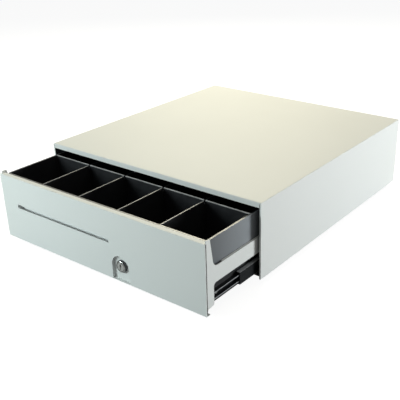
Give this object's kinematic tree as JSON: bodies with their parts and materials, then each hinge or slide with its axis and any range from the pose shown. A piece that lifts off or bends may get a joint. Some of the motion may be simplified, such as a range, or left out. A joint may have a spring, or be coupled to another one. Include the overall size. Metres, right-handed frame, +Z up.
{
  "type": "cash drawer",
  "caption": "Steel cash drawer standing part-way open on ball slides, with a compartmented till tray, media slot, key lock and solenoid latch.",
  "frame": {"origin": "bottom centre of the box around the whole part at rest, on the surface it stands on", "axes": "+X to the drawer's right seen from the front, +Y to the rear, +Z up"},
  "size_m": [0.4064, 0.54, 0.1245],
  "materials": {
    "painted_steel": "fine-textured powder coat, off-white",
    "black_steel": "black stove enamel",
    "slide_steel": "black zinc-plated rolled steel, bare at the edges",
    "zinc_steel": "zinc plated",
    "bright_steel": "nickel plated, polished",
    "ball_steel": "ground bearing balls in a retainer",
    "till_plastic": "moulded, fine grain",
    "black_plastic": "moulded, smooth",
    "rubber": "moulded",
    "coil": "taped winding on a bobbin",
    "board": "glass-epoxy circuit board",
    "connector": "moulded connector housings",
    "wire": "insulated wire"
  },
  "bodies": {
    "case": {"case_cover": "painted_steel", "base_pan": "black_steel", "rear_panel": "black_steel", "interface_socket": "black_plastic", "case_screws": "zinc_steel", "rubber_feet": "rubber", "slide_bracket_right": "black_steel", "slide_bracket_left": "black_steel", "slide_outer_right": "slide_steel", "slide_outer_left": "slide_steel", "slide_case_rivets": "zinc_steel", "latch_bracket": "zinc_steel", "latch_pivot_pin": "zinc_steel", "latch_bushes": "zinc_steel", "latch_spring": "zinc_steel", "solenoid_frame": "zinc_steel", "solenoid_coil": "coil", "drawer_switch": "black_plastic", "switch_pins": "zinc_steel", "ejector_bracket": "zinc_steel", "ejector_rod": "zinc_steel", "ejector_spring": "zinc_steel", "drawer_bumpers": "rubber", "circuit_board": "board", "board_standoffs": "zinc_steel", "board_components": "connector", "wire_harness": "wire"},
    "drawer": {"slide_inner_right": "slide_steel", "slide_inner_left": "slide_steel", "slide_drawer_rivets": "zinc_steel", "front_fascia": "painted_steel", "front_stiffener": "black_steel", "fascia_nuts": "zinc_steel", "media_chute": "painted_steel", "drawer_side_right": "painted_steel", "drawer_side_left": "painted_steel", "drawer_pan": "black_steel", "striker_bracket": "zinc_steel", "striker_pin": "zinc_steel", "lock_barrel": "bright_steel", "lock_nut": "zinc_steel", "till_tray": "till_plastic", "coin_dividers": "till_plastic", "bill_dividers": "till_plastic", "bill_arm_rod": "zinc_steel"},
    "slide_middles": {"slide_middle_right": "slide_steel", "slide_middle_left": "slide_steel"},
    "outer_cages": {"ball_cages_outer": "ball_steel"},
    "inner_cages": {"ball_cages_inner": "ball_steel"},
    "lock_turning": {"lock_plug": "bright_steel", "lock_cam": "zinc_steel", "cam_screw": "zinc_steel"},
    "latch": {"latch_hook": "zinc_steel"},
    "plunger": {"solenoid_plunger": "zinc_steel"},
    "switch_arm": {"switch_lever": "zinc_steel"},
    "bill_arm_1": {"bill_arm_1": "black_plastic"},
    "bill_arm_2": {"bill_arm_2": "black_plastic"},
    "bill_arm_3": {"bill_arm_3": "black_plastic"},
    "bill_arm_4": {"bill_arm_4": "black_plastic"},
    "bill_arm_5": {"bill_arm_5": "black_plastic"}
  },
  "joints": [
    {"name": "drawer_slide", "type": "slide", "parent": "case", "child": "drawer", "axis": [0, -1, 0], "range_m": [-0.1113, 0.2187], "deforming": ["ejector_spring"]},
    {"name": "slide_middles_slide", "type": "slide", "parent": "case", "child": "slide_middles", "axis": [0, -1, 0], "range_m": [-0.05665, 0.11035]},
    {"name": "outer_cages_slide", "type": "slide", "parent": "case", "child": "outer_cages", "axis": [0, -1, 0], "range_m": [-0.02882, 0.05568]},
    {"name": "inner_cages_slide", "type": "slide", "parent": "case", "child": "inner_cages", "axis": [0, -1, 0], "range_m": [-0.08447, 0.16503]},
    {"name": "lock_turn", "type": "hinge", "parent": "drawer", "child": "lock_turning", "pos_m": [0.0478, -0.258, 0.0297], "axis": [0, 1, 0], "range_deg": [0, 90]},
    {"name": "bill_arm_1_lift", "type": "hinge", "parent": "drawer", "child": "bill_arm_1", "pos_m": [-0.15216, 0.048, 0.1015], "axis": [-1, 0, 0], "range_deg": [0, 38]},
    {"name": "bill_arm_2_lift", "type": "hinge", "parent": "drawer", "child": "bill_arm_2", "pos_m": [-0.07608, 0.048, 0.1015], "axis": [-1, 0, 0], "range_deg": [0, 38]},
    {"name": "bill_arm_3_lift", "type": "hinge", "parent": "drawer", "child": "bill_arm_3", "pos_m": [0, 0.048, 0.1015], "axis": [-1, 0, 0], "range_deg": [0, 38]},
    {"name": "bill_arm_4_lift", "type": "hinge", "parent": "drawer", "child": "bill_arm_4", "pos_m": [0.07608, 0.048, 0.1015], "axis": [-1, 0, 0], "range_deg": [0, 38]},
    {"name": "bill_arm_5_lift", "type": "hinge", "parent": "drawer", "child": "bill_arm_5", "pos_m": [0.15216, 0.048, 0.1015], "axis": [-1, 0, 0], "range_deg": [0, 38]},
    {"name": "latch_turn", "type": "hinge", "parent": "case", "child": "latch", "pos_m": [0, 0.2193, 0.0335], "axis": [-1, 0, 0], "range_deg": [0, 12], "stiffness_Nm_per_rad": 0.15, "springref_deg": -17.19, "deforming": ["latch_spring"]},
    {"name": "plunger_slide", "type": "slide", "parent": "case", "child": "plunger", "axis": [0, 1, 0], "range_m": [-0.0005, 0.0056]},
    {"name": "switch_lever_turn", "type": "hinge", "parent": "case", "child": "switch_arm", "pos_m": [0, 0.1993, 0.0446], "axis": [-1, 0, 0], "range_deg": [-1, 12.5]}
  ],
  "couplings": [
    {"joint": "slide_middles_slide", "follows": "drawer_slide", "ratio": 0.5},
    {"joint": "outer_cages_slide", "follows": "drawer_slide", "ratio": 0.25},
    {"joint": "inner_cages_slide", "follows": "drawer_slide", "ratio": 0.75},
    {"joint": "plunger_slide", "follows": "latch_turn", "m_per_rad": 0.024},
    {"joint": "switch_lever_turn", "follows": "latch_turn", "ratio": 0.98}
  ]
}
